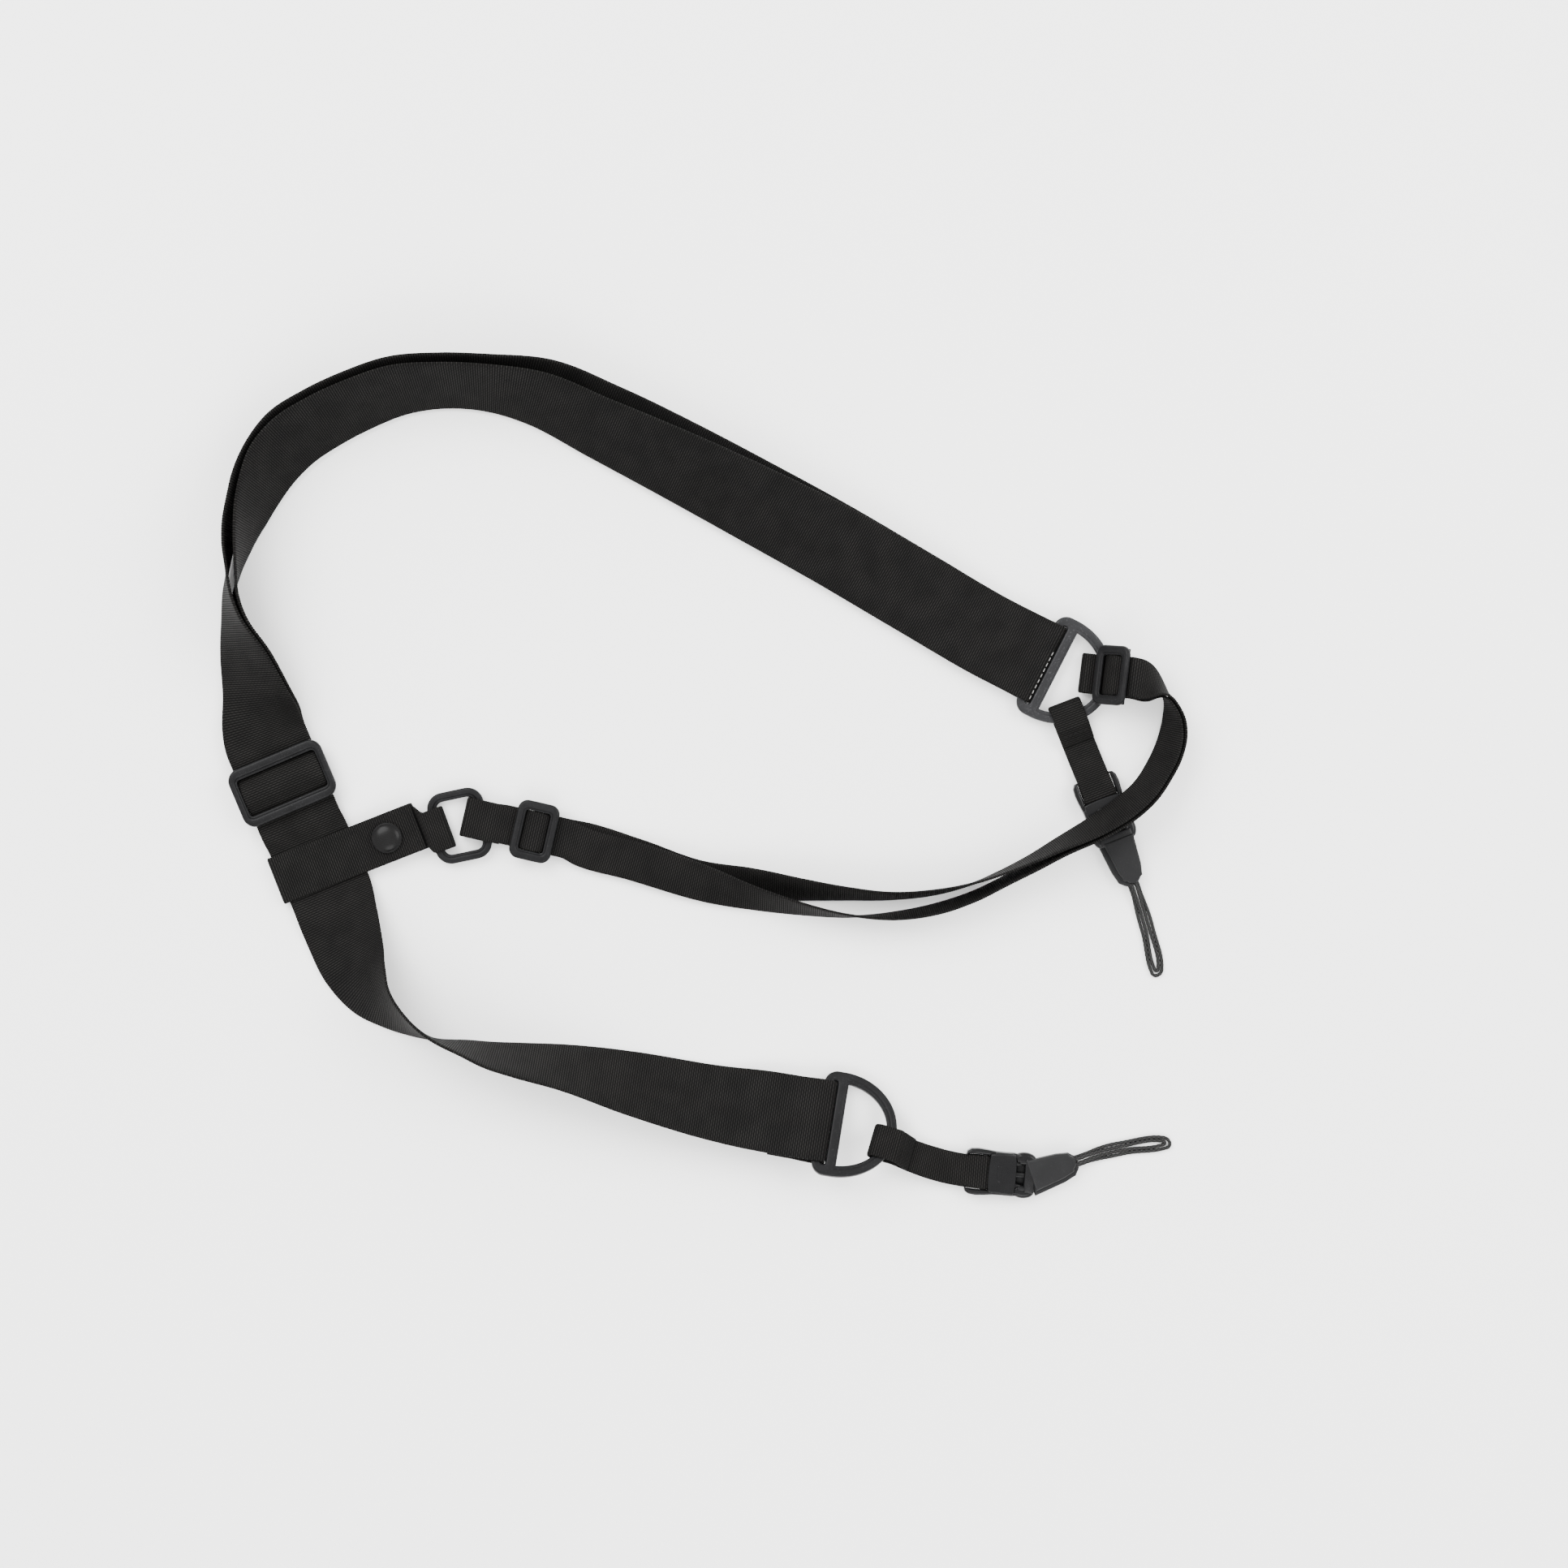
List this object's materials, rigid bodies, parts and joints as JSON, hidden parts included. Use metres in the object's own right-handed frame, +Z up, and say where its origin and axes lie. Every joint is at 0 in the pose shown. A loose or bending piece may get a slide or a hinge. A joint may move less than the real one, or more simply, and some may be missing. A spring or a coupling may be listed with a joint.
{
  "type": "camera strap",
  "caption": "Black webbing camera strap laid out flat, with two D rings, plastic sliders, a stabilizing strap, a snap keeper and two side-release connectors with cord loops",
  "frame": {"origin": "bottom centre of the strap's bounding box, as it lies on a table", "axes": "Z up from the table, X across the width of the picture, Y up the picture"},
  "size_m": [0.4438, 0.3824, 0.0386],
  "materials": {
    "webbing": "black woven nylon webbing with crosswise ribs",
    "moulded": "dark satin moulded nylon, fine grained",
    "buckle": "black smooth moulded plastic",
    "cover": "smooth matte black soft plastic",
    "snap": "glossy black enamelled metal",
    "braid": "thin braided black cord"
  },
  "bodies": {
    "root": {"shoulder_strap": "webbing", "stabilizer_strap": "webbing", "keeper_band": "webbing", "tab_loop": "webbing", "connector_webbing_a": "webbing", "connector_webbing_b": "webbing", "ring_a": "moulded", "ring_b": "moulded", "strap_slider": "moulded", "slider_1": "moulded", "slider_2": "moulded", "small_ring": "moulded", "snap_cap": "snap", "snap_stud": "snap", "buckle_body_a": "buckle", "buckle_body_b": "buckle", "buckle_plug_a": "cover", "buckle_plug_b": "cover", "cord_loop_a": "braid", "cord_loop_b": "braid"}
  },
  "joints": []
}
